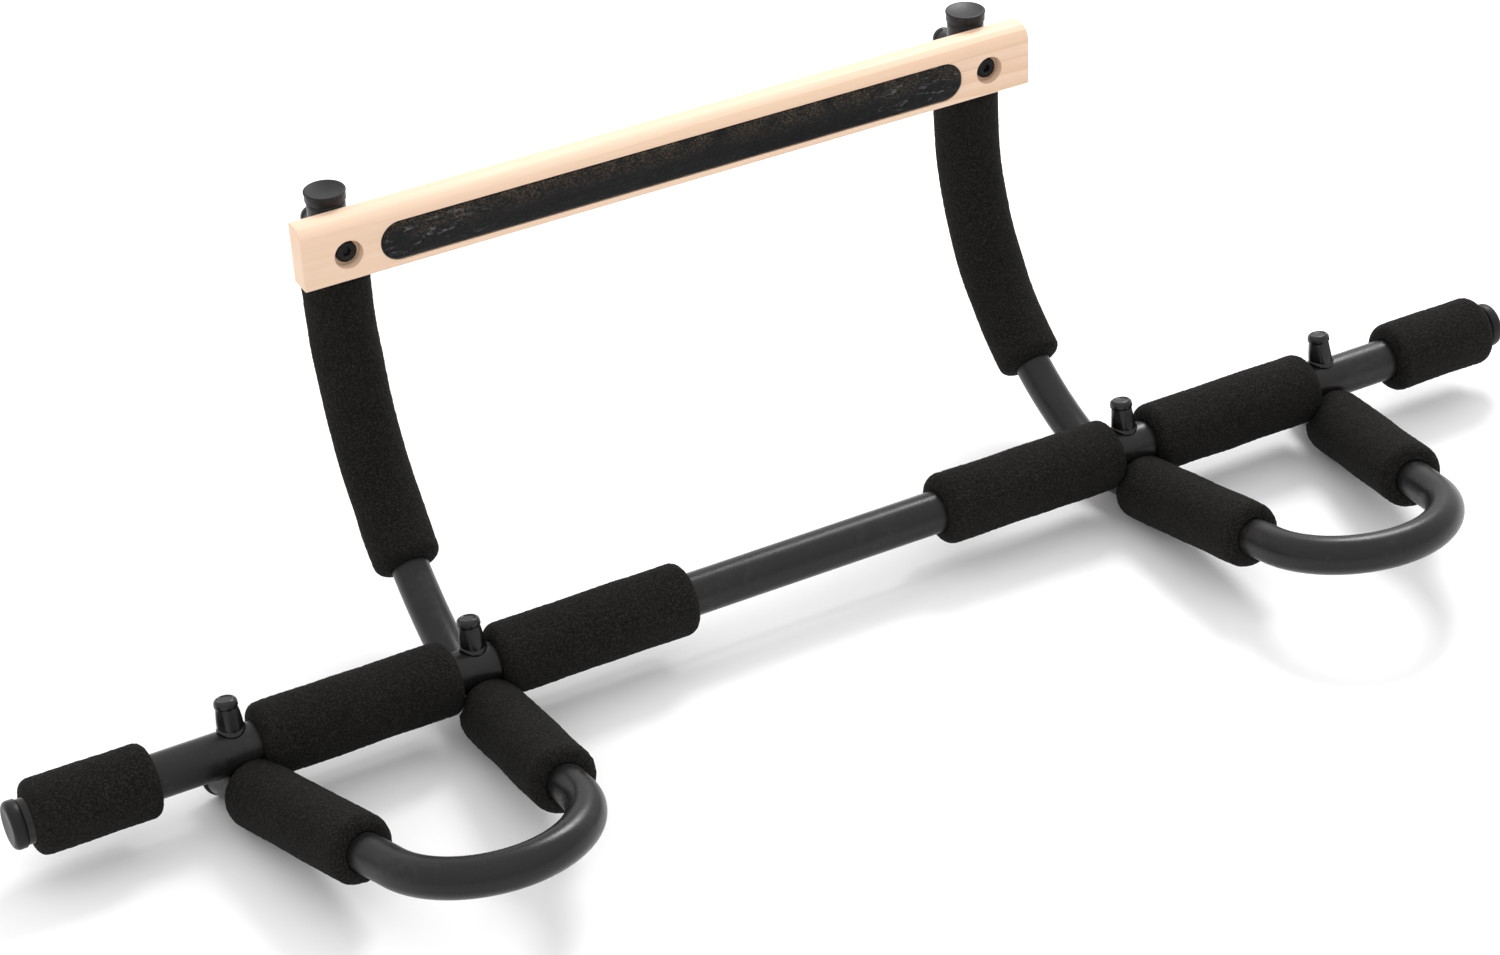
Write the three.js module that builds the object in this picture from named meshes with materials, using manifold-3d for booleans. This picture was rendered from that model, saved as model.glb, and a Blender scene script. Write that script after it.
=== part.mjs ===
import * as THREE from 'three';
import * as BufferGeometryUtils from 'three/addons/utils/BufferGeometryUtils.js';
import Module from 'manifold-3d';

// Doorway pull-up bar, in millimetres. It is built in the bar's own frame: X runs along the main
// bar, -Y points to the looped handles, +Z to the nuts. At the end the whole assembly is tipped
// back and set down, so that it stands on z = 0 the way it rests on a floor.

const wasm = await Module();
wasm.setup();

// ---- Driving dimensions -------------------------------------------------------------------

const gap = 0.3;                  // between pieces that touch or are cut to each other
const tubeWall = 1.5;

const barDiameter = 25;           // main bar
const barHalfLength = 474;        // to the bare end of the tube
const barJoint = 152;             // where the centre tube meets an outer tube
const barNeckEnd = 232;           // how far the centre tube's neck reaches into an outer tube

const sideDiameter = 22;          // side frames: looped handle and arm in one bent tube
const innerBoltX = 212;
const outerBoltX = 354;
const innerToe = THREE.MathUtils.degToRad(2.6);   // inner leg spreads outwards to the front
const outerToe = THREE.MathUtils.degToRad(10.9);  // outer leg closes inwards to the front
const loopReach = 190;            // bar axis to the loop's centre line at its front
const rearReach = 21;             // outer leg's bare end behind the bar axis
const saddleDepth = 2.2;          // notch in a bent tube that seats the bar
const footBendRadius = 66;        // first, tight bend of an arm
const footBendAngle = THREE.MathUtils.degToRad(25.4);
const footBendStart = 5;          // behind the bolt
const armBendRadius = 182.6;
const armTopMargin = 1;           // bare end of an arm above the board

const barGripDiameter = 42.5;     // foam sleeves
const sideGripDiameter = 39;
const gripEndRadius = 6;
const centreGripStart = 82;
const middleGripMargin = 4;       // extra bare tube between the inner bolt and the middle grip
const endGripStart = 401;
const endGripEnd = 470;
const legGripStart = 9.5;         // along a leg, from the bolt
const legGripMargin = 17;         // bare tube between a leg grip and the inner leg's bend
const armGripStart = THREE.MathUtils.degToRad(49);  // on the long bend
const armGripMargin = 2.5;        // below the board

const boardLength = 468;
const boardHeight = 37.4;
const boardThickness = 16;
const boardFoot = 19;             // board's lower edge above the end of the long bend
const boardFrontRadius = 8.8;       // front upper edge
const boardEdgeRadius = 1.5;
const holeHeight = 16;            // bolt and pad centre above the board's lower edge
const counterboreDiameter = 17;
const counterboreDepth = 7;
const padLength = 374;
const padHeight = 24;
const padDepth = 5;
const padProud = 1.2;

const boltDiameter = 6;
const boltHeadDiameter = 14;
const boltHeadHeight = 2.6;
const boardHeadDiameter = 12.5;
const boardHeadHeight = 3.2;
const washerDiameter = 12;
const washerThickness = 1.2;
const nutAcrossFlats = 10;
const nutHeight = 5;
const boltProud = 3;              // thread past the nut
const nutCapHeight = 18;
const nutCapBaseDiameter = 16;
const nutCapFlange = 1.6;         // height of the base flange on the tube's crown
const nutCapWideDiameter = 14.8;  // foot of the cone above the flange
const nutCapTopDiameter = 13.2;
const nutCapHeadHeight = 4.6;
const nutCapNeck = 0.4;           // the neck's set-in below the head

const barCapThickness = 7;
const barCapOverhang = 1;
const sideCapThickness = 3;
const sideCapOverhang = 1;
const armCapThickness = 6;
const armCapOverhang = 1;
const plugLength = 14;
const boreSides = 8;              // facets of a bent tube's bore

// ---- Derived places -----------------------------------------------------------------------

const barRadius = barDiameter / 2;
const sideRadius = sideDiameter / 2;
const barGripRadius = barGripDiameter / 2;
const sideGripRadius = sideGripDiameter / 2;
const sideLevel = -(barRadius + sideRadius + gap - saddleDepth);  // centre line of the legs
const armTopLength = boardFoot + boardHeight + armTopMargin;  // straight top past the long bend

// The loop's bend touches both legs, and its front reaches loopReach.
const toeSecants = 1 / Math.cos(innerToe) + 1 / Math.cos(outerToe);
const toeTangents = Math.tan(innerToe) + Math.tan(outerToe);
const loopRadius = (outerBoltX - innerBoltX - loopReach * toeTangents) / (toeSecants - toeTangents);
const loopCentreY = loopReach - loopRadius;
const loopCentreX = innerBoltX + loopCentreY * Math.tan(innerToe) + loopRadius / Math.cos(innerToe);

// The leg grips stop short of where the inner leg starts to bend.
const legStraight = (loopCentreY + loopRadius * Math.sin(innerToe)) / Math.cos(innerToe);
const legGripEnd = legStraight - legGripMargin;

// A bar grip stops short of a bolt where its rounded end just clears the leg under the bar.
function barGripMargin(toe) {
  const cornerDrop = -sideLevel - barGripRadius + gripEndRadius;
  const reach = sideRadius + gripEndRadius + gap;
  const legClearance = Math.sqrt(reach ** 2 - cornerDrop ** 2) - gripEndRadius;
  const spread = 0.5 * barGripRadius * Math.sin(toe);
  return Math.max(legClearance + spread, nutCapBaseDiameter / 2 + gap);
}

// At rest the frame leans on the back ends of the outer leg grips and on the two rear leg caps.
const restRun = legGripStart + gripEndRadius / 2 + rearReach + gap + sideCapThickness;
const restRise = sideGripRadius - sideRadius - sideCapOverhang;
const restTilt = Math.atan2(restRise, restRun);

// ---- Materials ----------------------------------------------------------------------------

const paint = { color: 0x3c3a3d, roughness: 0.42, metalness: 0.35 };
const foam = { color: 0x222120, roughness: 0.95, metalness: 0 };
const wood = { color: 0xe9c9a0, roughness: 0.6, metalness: 0 };
const pad = { color: 0x191818, roughness: 0.55, metalness: 0 };
const plastic = { color: 0x1c1c1d, roughness: 0.45, metalness: 0 };
const steel = { color: 0x4a4a4c, roughness: 0.35, metalness: 0.9 };

// ---- Solids -------------------------------------------------------------------------------

const up = new THREE.Vector3(0, 0, 1);

function toSolid(geometry) {
  const bare = geometry.clone();
  bare.deleteAttribute('normal');
  bare.deleteAttribute('uv');
  const merged = BufferGeometryUtils.mergeVertices(bare, 1e-4);
  const vertProperties = new Float32Array(merged.attributes.position.array);
  const triVerts = new Uint32Array(merged.index.array);
  return new wasm.Manifold(new wasm.Mesh({ numProp: 3, vertProperties, triVerts }));
}

function toGeometry(solid) {
  const mesh = solid.getMesh();
  const geometry = new THREE.BufferGeometry();
  geometry.setAttribute('position', new THREE.BufferAttribute(mesh.vertProperties, 3));
  geometry.setIndex(new THREE.BufferAttribute(mesh.triVerts, 1));
  geometry.computeVertexNormals();
  return geometry;
}

function cut(geometry, ...tools) {
  let solid = toSolid(geometry);
  for (const tool of tools) {
    solid = solid.subtract(toSolid(tool));
  }
  return toGeometry(solid);
}

// A turned solid about +Z from (radius, height) points that run anticlockwise about its section.
function turned(points, segments = 20) {
  const profile = points.map(([radius, height]) => new THREE.Vector2(radius, height));
  return new THREE.LatheGeometry(profile, segments).rotateX(Math.PI / 2);
}

function rod(radius, from, to, segments = 12) {
  const length = to - from;
  const geometry = new THREE.CylinderGeometry(radius, radius, length, segments);
  return geometry.rotateX(Math.PI / 2).translate(0, 0, from + length / 2);
}

// Quarter round points from startAngle, in the (radius, height) plane.
function roundCorner(centreRadius, centreHeight, radius, startAngle, steps = 2) {
  const points = [];
  for (let i = 0; i <= steps; i++) {
    const angle = startAngle + (i / steps) * (Math.PI / 2);
    points.push([centreRadius + radius * Math.cos(angle), centreHeight + radius * Math.sin(angle)]);
  }
  return points;
}

// A geometry built about +Z, set at a place with its +Z along a direction.
function aimed(geometry, place, direction) {
  const turn = new THREE.Quaternion().setFromUnitVectors(up, direction);
  return geometry.applyQuaternion(turn).translate(place.x, place.y, place.z);
}

// A straight foam sleeve about +Z, from 0 to length, with rounded ends.
function sleeve(innerRadius, outerRadius, length) {
  const r = gripEndRadius;
  const points = [
    [innerRadius, 0],
    ...roundCorner(outerRadius - r, r, r, -Math.PI / 2),
    ...roundCorner(outerRadius - r, length - r, r, 0),
    [innerRadius, length],
    [innerRadius, 0],
  ];
  return turned(points);
}

// ---- Curves of a side frame ---------------------------------------------------------------

class ArcCurve3 extends THREE.Curve {
  constructor(centre, radius, axisU, axisV, startAngle, endAngle) {
    super();
    Object.assign(this, { centre, radius, axisU, axisV, startAngle, endAngle });
  }
  getPoint(t, target = new THREE.Vector3()) {
    const angle = this.startAngle + t * (this.endAngle - this.startAngle);
    target.copy(this.centre);
    target.addScaledVector(this.axisU, this.radius * Math.cos(angle));
    return target.addScaledVector(this.axisV, this.radius * Math.sin(angle));
  }
}

// Points of an arm in its own upright plane: run behind the bolt, and height in the bar's frame.
const footBendCentre = sideLevel + footBendRadius;
const footBendEndRun = footBendStart + footBendRadius * Math.sin(footBendAngle);
const footBendEndHeight = footBendCentre - footBendRadius * Math.cos(footBendAngle);
const armBendCentreRun = footBendEndRun - armBendRadius * Math.sin(footBendAngle);
const armBendCentreHeight = footBendEndHeight + armBendRadius * Math.cos(footBendAngle);
const armBendEnd = Math.PI / 2 + restTilt;

// Directions and points of the side frame on one side (side = 1 is +X).
function sideGeometry(side) {
  const back = new THREE.Vector3(-side * Math.sin(innerToe), Math.cos(innerToe), 0);
  const outerBack = new THREE.Vector3(side * Math.sin(outerToe), Math.cos(outerToe), 0);
  const innerBolt = new THREE.Vector3(side * innerBoltX, 0, sideLevel);
  const outerBolt = new THREE.Vector3(side * outerBoltX, 0, sideLevel);
  const inArm = (run, height) => innerBolt.clone().addScaledVector(back, run).setZ(height);
  const topStart = inArm(
    armBendCentreRun + armBendRadius * Math.sin(armBendEnd),
    armBendCentreHeight - armBendRadius * Math.cos(armBendEnd),
  );
  const rise = back.clone().multiplyScalar(Math.cos(armBendEnd)).addScaledVector(up, Math.sin(armBendEnd));
  return { side, back, outerBack, innerBolt, outerBolt, inArm, topStart, rise };
}

function armBendCurve(frame, startAngle, endAngle) {
  const centre = frame.inArm(armBendCentreRun, armBendCentreHeight);
  const down = up.clone().negate();
  return new ArcCurve3(centre, armBendRadius, down, frame.back, startAngle, endAngle);
}

// The whole tube: rear end of the outer leg, loop, inner leg, foot bend, long bend, straight top.
function sideFramePath(frame) {
  const { side, back, outerBack, innerBolt, outerBolt, inArm, topStart, rise } = frame;
  const rearEnd = outerBolt.clone().addScaledVector(outerBack, rearReach);
  const loopCentre = new THREE.Vector3(side * loopCentreX, -loopCentreY, sideLevel);
  const outward = new THREE.Vector3(side, 0, 0);
  const forward = new THREE.Vector3(0, -1, 0);
  const loop = new ArcCurve3(loopCentre, loopRadius, outward, forward, outerToe, Math.PI - innerToe);
  const footStart = inArm(footBendStart, sideLevel);
  const footCentre = inArm(footBendStart, footBendCentre);
  const down = up.clone().negate();
  const foot = new ArcCurve3(footCentre, footBendRadius, down, back, 0, footBendAngle);
  const path = new THREE.CurvePath();
  path.add(new THREE.LineCurve3(rearEnd, loop.getPoint(0)));
  path.add(loop);
  path.add(new THREE.LineCurve3(loop.getPoint(1), footStart));
  path.add(foot);
  path.add(armBendCurve(frame, footBendAngle, armBendEnd));
  path.add(new THREE.LineCurve3(topStart, topStart.clone().addScaledVector(rise, armTopLength)));
  return path;
}

// A hollow round section carried along a path.
function bentTube(path, outerRadius, innerRadius, steps, outerSides = 14, innerSides = boreSides) {
  const ring = (radius, sides) => {
    const points = [];
    for (let i = 0; i < sides; i++) {
      const angle = (i / sides) * 2 * Math.PI;
      points.push(new THREE.Vector2(radius * Math.cos(angle), radius * Math.sin(angle)));
    }
    return points;
  };
  const shape = new THREE.Shape(ring(outerRadius, outerSides));
  shape.holes.push(new THREE.Path(ring(innerRadius, innerSides)));
  return new THREE.ExtrudeGeometry(shape, { steps, extrudePath: path, bevelEnabled: false });
}

// ---- Assembly helpers ---------------------------------------------------------------------

const assembly = new THREE.Group();

function add(parent, name, geometry, look) {
  const mesh = new THREE.Mesh(geometry, new THREE.MeshStandardMaterial(look));
  mesh.name = name;
  parent.add(mesh);
  return mesh;
}

// A group whose +Z lies along direction, at a place.
function aimedGroup(parent, place, direction) {
  const group = new THREE.Group();
  group.position.copy(place);
  group.quaternion.setFromUnitVectors(up, direction.clone().normalize());
  parent.add(group);
  return group;
}

const sides = [[-1, 'left'], [1, 'right']];

// ---- Main bar -----------------------------------------------------------------------------

function boltBore(x) {
  return rod(boltDiameter / 2 + gap, -barDiameter, barDiameter).translate(x, 0, 0);
}

function centreTube() {
  const bore = barRadius - 2 * tubeWall - gap;
  const neck = barRadius - tubeWall - gap;
  const points = [
    [bore, -barNeckEnd], [neck, -barNeckEnd], [neck, -barJoint], [barRadius, -barJoint],
    [barRadius, barJoint], [neck, barJoint], [neck, barNeckEnd], [bore, barNeckEnd],
    [bore, -barNeckEnd],
  ];
  const tube = turned(points, 24).rotateY(Math.PI / 2);
  return cut(tube, boltBore(-innerBoltX), boltBore(innerBoltX));
}

function outerTube(side) {
  const bore = barRadius - tubeWall;
  const start = barJoint + gap;
  const points = [
    [bore, start], [barRadius, start], [barRadius, barHalfLength], [bore, barHalfLength],
    [bore, start],
  ];
  const tube = turned(points, 24).rotateY(side * Math.PI / 2);
  return cut(tube, boltBore(side * innerBoltX), boltBore(side * outerBoltX));
}

// A moulded end cap: a plug inside the tube and a thick rim with a rounded edge outside it.
function endCap(tubeRadius, overhang, thickness) {
  const edge = Math.min(thickness * 0.5, 3);
  const rim = tubeRadius + overhang;
  const plug = (tubeRadius - tubeWall) * Math.cos(Math.PI / boreSides) - gap;
  const points = [
    [0, -plugLength], [plug - 1, -plugLength], [plug, 1 - plugLength], [plug, gap], [rim, gap],
    ...roundCorner(rim - edge, gap + thickness - edge, edge, 0),
    [0, gap + thickness],
  ];
  return turned(points, 16);
}

// Where the grips of one half of the bar start and end, from the middle of the bar.
const barGrips = [
  ['centre_grip', centreGripStart, innerBoltX - barGripMargin(innerToe)],
  ['middle_grip', innerBoltX + barGripMargin(innerToe) + middleGripMargin,
    outerBoltX - barGripMargin(outerToe)],
  ['end_grip', endGripStart, endGripEnd],
];

// A bar grip, or with a margin the room that it takes up in softer neighbours.
function barGrip(side, start, end, margin = 0) {
  const along = new THREE.Vector3(side, 0, 0);
  const inner = barRadius + gap - margin;
  const geometry = sleeve(inner, barGripRadius + margin, end - start + 2 * margin);
  return aimed(geometry, along.clone().multiplyScalar(start - margin), along);
}

function buildMainBar() {
  add(assembly, 'bar_centre_tube', centreTube(), paint);
  for (const [side, word] of sides) {
    add(assembly, `bar_${word}_tube`, outerTube(side), paint);
    const along = new THREE.Vector3(side, 0, 0);
    const capPlace = along.clone().multiplyScalar(barHalfLength);
    const capGroup = aimedGroup(assembly, capPlace, along);
    add(capGroup, `bar_${word}_end_cap`, endCap(barRadius, barCapOverhang, barCapThickness), plastic);
    for (const [kind, start, end] of barGrips) {
      add(assembly, `${word}_${kind}`, barGrip(side, start, end), foam);
    }
  }
}

// ---- Side frames --------------------------------------------------------------------------

// The bolt hole of the board, on the centre line of an arm's straight top.
function boardHolePoint(frame) {
  return frame.topStart.clone().addScaledVector(frame.rise, boardFoot + holeHeight);
}

const boardBack = new THREE.Vector3(0, Math.cos(restTilt), Math.sin(restTilt));

function sideFrameTube(frame) {
  const radius = boltDiameter / 2 + gap;
  const tube = bentTube(sideFramePath(frame), sideRadius, sideRadius - tubeWall, 60);
  const bores = [frame.innerBolt, frame.outerBolt].map((bolt) =>
    rod(radius, -sideDiameter, sideDiameter, 12).translate(bolt.x, bolt.y, bolt.z));
  const boardBore = rod(radius, -sideDiameter, sideDiameter, 12);
  aimed(boardBore, boardHolePoint(frame), boardBack);
  return cut(tube, ...bores, boardBore, barRoom(frame.side));
}

// The room that one half of the bar takes up, with a gap round it.
function barRoom(side) {
  const room = rod(barRadius + gap, 0, barHalfLength, 24);
  return room.rotateY(side * Math.PI / 2);
}

// A leg grip presses against the bar and the grips beside it, which hollow out its back end.
function legGrip(side, bolt, forward) {
  const geometry = sleeve(sideRadius + gap, sideGripRadius, legGripEnd - legGripStart);
  aimed(geometry, bolt.clone().addScaledVector(forward, legGripStart), forward);
  const rooms = barGrips.map(([, start, end]) => barGrip(side, start, end, gap));
  return cut(geometry, barRoom(side), ...rooms);
}

function buildSideFrame(side, word) {
  const frame = sideGeometry(side);
  add(assembly, `${word}_side_frame`, sideFrameTube(frame), paint);

  const rearEnd = frame.outerBolt.clone().addScaledVector(frame.outerBack, rearReach);
  const rearGroup = aimedGroup(assembly, rearEnd, frame.outerBack);
  add(rearGroup, `${word}_rear_leg_cap`, endCap(sideRadius, sideCapOverhang, sideCapThickness), plastic);

  const armTop = frame.topStart.clone().addScaledVector(frame.rise, armTopLength);
  const topGroup = aimedGroup(assembly, armTop, frame.rise);
  add(topGroup, `${word}_arm_top_cap`, endCap(sideRadius, armCapOverhang, armCapThickness), plastic);

  const legs = [
    ['inner', frame.innerBolt, frame.back],
    ['outer', frame.outerBolt, frame.outerBack],
  ];
  for (const [kind, bolt, legBack] of legs) {
    const forward = legBack.clone().negate();
    add(assembly, `${word}_${kind}_leg_grip`, legGrip(side, bolt, forward), foam);
  }

  const armGripPath = new THREE.CurvePath();
  const topLength = boardFoot - armGripMargin;
  const armGripEnd = frame.topStart.clone().addScaledVector(frame.rise, topLength);
  armGripPath.add(armBendCurve(frame, armGripStart, armBendEnd));
  armGripPath.add(new THREE.LineCurve3(frame.topStart, armGripEnd));
  const armGrip = bentTube(armGripPath, sideGripRadius, sideRadius + 2 * gap, 12, 14, 14);
  add(assembly, `${word}_arm_grip`, armGrip, foam);
}

// ---- Board and pad ------------------------------------------------------------------------

// The board's own axes: X along it, Y out of its back, Z up, origin at the middle of the lower
// edge of its back face.
function boardGroup() {
  const frame = sideGeometry(1);
  const hole = boardHolePoint(frame);
  const group = new THREE.Group();
  group.rotation.x = restTilt;
  const place = hole.clone().addScaledVector(boardBack, -(sideRadius + gap));
  const boardUp = new THREE.Vector3(0, -Math.sin(restTilt), Math.cos(restTilt));
  place.addScaledVector(boardUp, -holeHeight);
  group.position.set(0, place.y, place.z);
  assembly.add(group);
  return group;
}

function boardBody() {
  const t = boardThickness;
  const h = boardHeight;
  const e = boardEdgeRadius;
  const f = boardFrontRadius;
  const section = new THREE.Shape();
  section.moveTo(-t + e, 0);
  section.lineTo(-e, 0);
  section.absarc(-e, e, e, -Math.PI / 2, 0, false);
  section.absarc(-e, h - e, e, 0, Math.PI / 2, false);
  section.absarc(-t + f, h - f, f, Math.PI / 2, Math.PI, false);
  section.absarc(-t + e, e, e, Math.PI, 1.5 * Math.PI, false);
  const options = { depth: boardLength, bevelEnabled: false, curveSegments: 5 };
  const geometry = new THREE.ExtrudeGeometry(section, options);
  // section (x, y) and depth z become (depth, thickness, height)
  geometry.translate(0, 0, -boardLength / 2);
  const axes = new THREE.Matrix4().makeBasis(
    new THREE.Vector3(0, 1, 0), new THREE.Vector3(0, 0, 1), new THREE.Vector3(1, 0, 0));
  return geometry.applyMatrix4(axes);
}

// A long slab with round ends, facing -Y, between two depths.
function stadium(length, height, front, back) {
  const r = height / 2;
  const half = length / 2 - r;
  const shape = new THREE.Shape();
  shape.absarc(half, 0, r, -Math.PI / 2, Math.PI / 2, false);
  shape.absarc(-half, 0, r, Math.PI / 2, 1.5 * Math.PI, false);
  const options = { depth: back - front, bevelEnabled: false, curveSegments: 10 };
  const geometry = new THREE.ExtrudeGeometry(shape, options);
  return geometry.rotateX(Math.PI / 2).translate(0, back, holeHeight);
}

function boardHoleX() {
  return boardHolePoint(sideGeometry(1)).x;
}

function buildBoard() {
  const group = boardGroup();
  const t = boardThickness;
  const tools = [stadium(padLength, padHeight, -t - 1, -t + padDepth)];
  for (const [side] of sides) {
    const x = side * boardHoleX();
    const along = (geometry) => geometry.rotateX(-Math.PI / 2).translate(x, 0, holeHeight);
    tools.push(along(rod(boltDiameter / 2 + gap, -t - 1, 1)));
    tools.push(along(rod(counterboreDiameter / 2, -t - 1, -t + counterboreDepth, 24)));
  }
  add(group, 'header_board', cut(boardBody(), ...tools), wood);
  const padBody = stadium(padLength - 2 * gap, padHeight - 2 * gap, -t - padProud, -t + padDepth - gap);
  add(group, 'header_pad', padBody, pad);
}

// ---- Fasteners ----------------------------------------------------------------------------

function bolt(headDiameter, headHeight, underHead, tip) {
  const r = boltDiameter / 2;
  const head = headDiameter / 2;
  const bevel = headHeight * 0.4;
  const points = [
    [0, underHead - headHeight], [head - bevel, underHead - headHeight], [head, underHead - bevel],
    [head, underHead], [r, underHead], [r, tip - 0.8], [r - 0.8, tip], [0, tip],
  ];
  return turned(points, 12);
}

function washer(seat) {
  const r = boltDiameter / 2 + gap;
  const w = washerDiameter / 2;
  const top = seat + washerThickness;
  return turned([[r, seat], [w, seat], [w, top], [r, top], [r, seat]], 12);
}

function nut(seat) {
  const corner = nutAcrossFlats / Math.sqrt(3);
  const body = new THREE.CylinderGeometry(corner, corner, nutHeight, 6).rotateX(Math.PI / 2);
  body.translate(0, 0, seat + nutHeight / 2);
  return cut(body, rod(boltDiameter / 2 + gap, seat - 1, seat + nutHeight + 1, 12));
}

// The push-on cap over a nut: a skirt shaped to the tube under it, a cone and a round head.
function nutCap(seat, tubeRadius) {
  const skirt = tubeRadius - Math.sqrt(tubeRadius ** 2 - (nutCapBaseDiameter / 2) ** 2);
  const foot = seat - skirt - 1;
  const top = seat + nutCapHeight;
  const washerRoom = seat + washerThickness + 2 * gap;
  const nutRoom = washerRoom + nutHeight + gap;
  const tipRoom = nutRoom + boltProud + gap;
  const washerBore = washerDiameter / 2 + gap;
  const nutBore = nutAcrossFlats / Math.sqrt(3) + gap;
  const tipBore = boltDiameter / 2 + gap;
  const base = nutCapBaseDiameter / 2;
  const wide = nutCapWideDiameter / 2;
  const head = nutCapTopDiameter / 2;
  const headFoot = top - nutCapHeadHeight;
  const edge = 0.8;
  const points = [
    [washerBore, foot], [base, foot], [base, seat + nutCapFlange],
    [wide, seat + nutCapFlange + edge], [wide - edge / 2, nutRoom],
    [head - nutCapNeck, headFoot], [head, headFoot + edge], [head, top - edge], [head - edge, top],
    [0, top], [0, tipRoom], [tipBore, tipRoom], [tipBore, nutRoom], [nutBore, nutRoom],
    [nutBore, washerRoom], [washerBore, washerRoom], [washerBore, foot],
  ];
  const tube = rod(tubeRadius + gap, -3 * nutCapBaseDiameter, 3 * nutCapBaseDiameter, 32);
  tube.rotateY(Math.PI / 2);
  return cut(turned(points, 12), tube);
}

// One bolted joint along a group's +Z: head below, washer, nut and cap above a tube's crown.
function buildFastener(group, word, headDiameter, headHeight, underHead, tubeRadius) {
  const seat = tubeRadius + gap;
  const nutSeat = seat + washerThickness + gap;
  const tip = nutSeat + nutHeight + boltProud;
  add(group, `${word}_bolt`, bolt(headDiameter, headHeight, underHead, tip), steel);
  add(group, `${word}_washer`, washer(seat), steel);
  add(group, `${word}_nut`, nut(nutSeat), steel);
  add(group, `${word}_nut_cap`, nutCap(tubeRadius, tubeRadius), plastic);
}

function buildFasteners() {
  for (const [side, word] of sides) {
    for (const [kind, x] of [['inner', innerBoltX], ['outer', outerBoltX]]) {
      const group = aimedGroup(assembly, new THREE.Vector3(side * x, 0, 0), up);
      const underHead = sideLevel - sideRadius - gap;
      buildFastener(group, `${word}_${kind}`, boltHeadDiameter, boltHeadHeight, underHead, barRadius);
    }
    const place = boardHolePoint(sideGeometry(side));
    const group = aimedGroup(assembly, place, boardBack);
    const underHead = -(sideRadius + gap) - boardThickness + counterboreDepth - gap;
    const turn = new THREE.Group();
    turn.rotation.z = Math.PI / 2;
    group.add(turn);
    buildFastener(turn, `${word}_board`, boardHeadDiameter, boardHeadHeight, underHead, sideRadius);
  }
}

// ---- Build and set down -------------------------------------------------------------------

buildMainBar();
for (const [side, word] of sides) {
  buildSideFrame(side, word);
}
buildBoard();
buildFasteners();

assembly.rotation.x = -restTilt;
assembly.updateMatrixWorld(true);
const box = new THREE.Box3().setFromObject(assembly, true);
assembly.position.y = -(box.min.y + box.max.y) / 2;
assembly.position.z = -box.min.z;

const pullUpBar = new THREE.Group();
pullUpBar.name = 'pull_up_bar';
pullUpBar.add(assembly);
pullUpBar.updateMatrixWorld(true);

export default pullUpBar;
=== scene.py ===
import math

import bmesh
import bpy
from mathutils import Matrix, Vector, noise


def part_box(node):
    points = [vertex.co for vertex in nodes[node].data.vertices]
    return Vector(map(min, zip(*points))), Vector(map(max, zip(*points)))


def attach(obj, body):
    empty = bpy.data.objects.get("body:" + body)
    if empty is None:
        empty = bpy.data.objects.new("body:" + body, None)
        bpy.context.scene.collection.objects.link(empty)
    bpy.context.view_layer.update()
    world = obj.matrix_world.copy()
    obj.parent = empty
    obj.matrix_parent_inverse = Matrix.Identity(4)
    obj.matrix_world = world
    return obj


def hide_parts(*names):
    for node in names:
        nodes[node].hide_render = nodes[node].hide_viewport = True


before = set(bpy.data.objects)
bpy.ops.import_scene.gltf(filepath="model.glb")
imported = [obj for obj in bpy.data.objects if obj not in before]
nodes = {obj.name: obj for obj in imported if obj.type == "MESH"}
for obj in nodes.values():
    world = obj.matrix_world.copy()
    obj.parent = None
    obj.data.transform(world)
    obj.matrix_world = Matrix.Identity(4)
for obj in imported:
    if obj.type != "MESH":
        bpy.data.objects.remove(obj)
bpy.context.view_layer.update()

MM = 0.001
SIDES = ((-1, "left"), (1, "right"))

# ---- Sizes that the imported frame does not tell, in metres -------------------------------------

BAR_RADIUS = 12.5 * MM
SIDE_RADIUS = 11 * MM
GAP = 0.3 * MM                    # between pieces that touch

SADDLE_DEPTH = 2.2 * MM           # dent in a bent tube that seats the bar
PLUG_LENGTH = 14 * MM             # end caps reach this far into their tubes

FOOT_BEND_RADIUS = 66 * MM        # first, tight bend of an arm
FOOT_BEND_ANGLE = math.radians(25.4)
FOOT_BEND_START = 5 * MM          # behind the bolt
ARM_BEND_RADIUS = 182.6 * MM      # the long bend after it

BAR_GRIP_RADIUS = 21.25 * MM
SIDE_GRIP_RADIUS = 19.5 * MM
LEG_GRIP_START = 9.5 * MM         # along a leg, from the bolt
GRIP_END_RADIUS = 6 * MM
GRIP_MESH_STEP = 1.25 * MM        # size of a grip's mesh faces
FOAM_ROUGHNESS = 0.34 * MM        # height of the open cells on a grip's skin
FOAM_WANDER = 0.5 * MM            # slow swell of a grip along its length

BOARD_FRONT_RADIUS = 8.8 * MM       # the board's rounded front upper edge
BOARD_EDGE_RADIUS = 1.2 * MM
BOARD_END_RADIUS = 2.2 * MM       # the eased edges of its two ends
HOLE_HEIGHT = 16 * MM             # bolts and pad above the board's lower edge
COUNTERBORE_RADIUS = 8.5 * MM
COUNTERBORE_DEPTH = 7 * MM
PAD_LENGTH = 374 * MM
PAD_HEIGHT = 24 * MM
PAD_DEPTH = 5 * MM
PAD_CROWN = 1.2 * MM              # the pad's middle stands this proud of the wood

SHANK_RADIUS = 3 * MM
BOARD_BORE_RADIUS = 3.4 * MM      # the bolts' holes through the board
NUT_CAP_BORE = 6.3 * MM
BAR_BOLT_HEAD = (7 * MM, 2.6 * MM, 1.6 * MM)       # radius, height, depth of the hexagon socket
BOARD_BOLT_HEAD = (6.25 * MM, 3.2 * MM, 2.2 * MM)


# ---- Places from the frame --------------------------------------------------------------------

def middle(name):
    low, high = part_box(name)
    return (low + high) / 2


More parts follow.
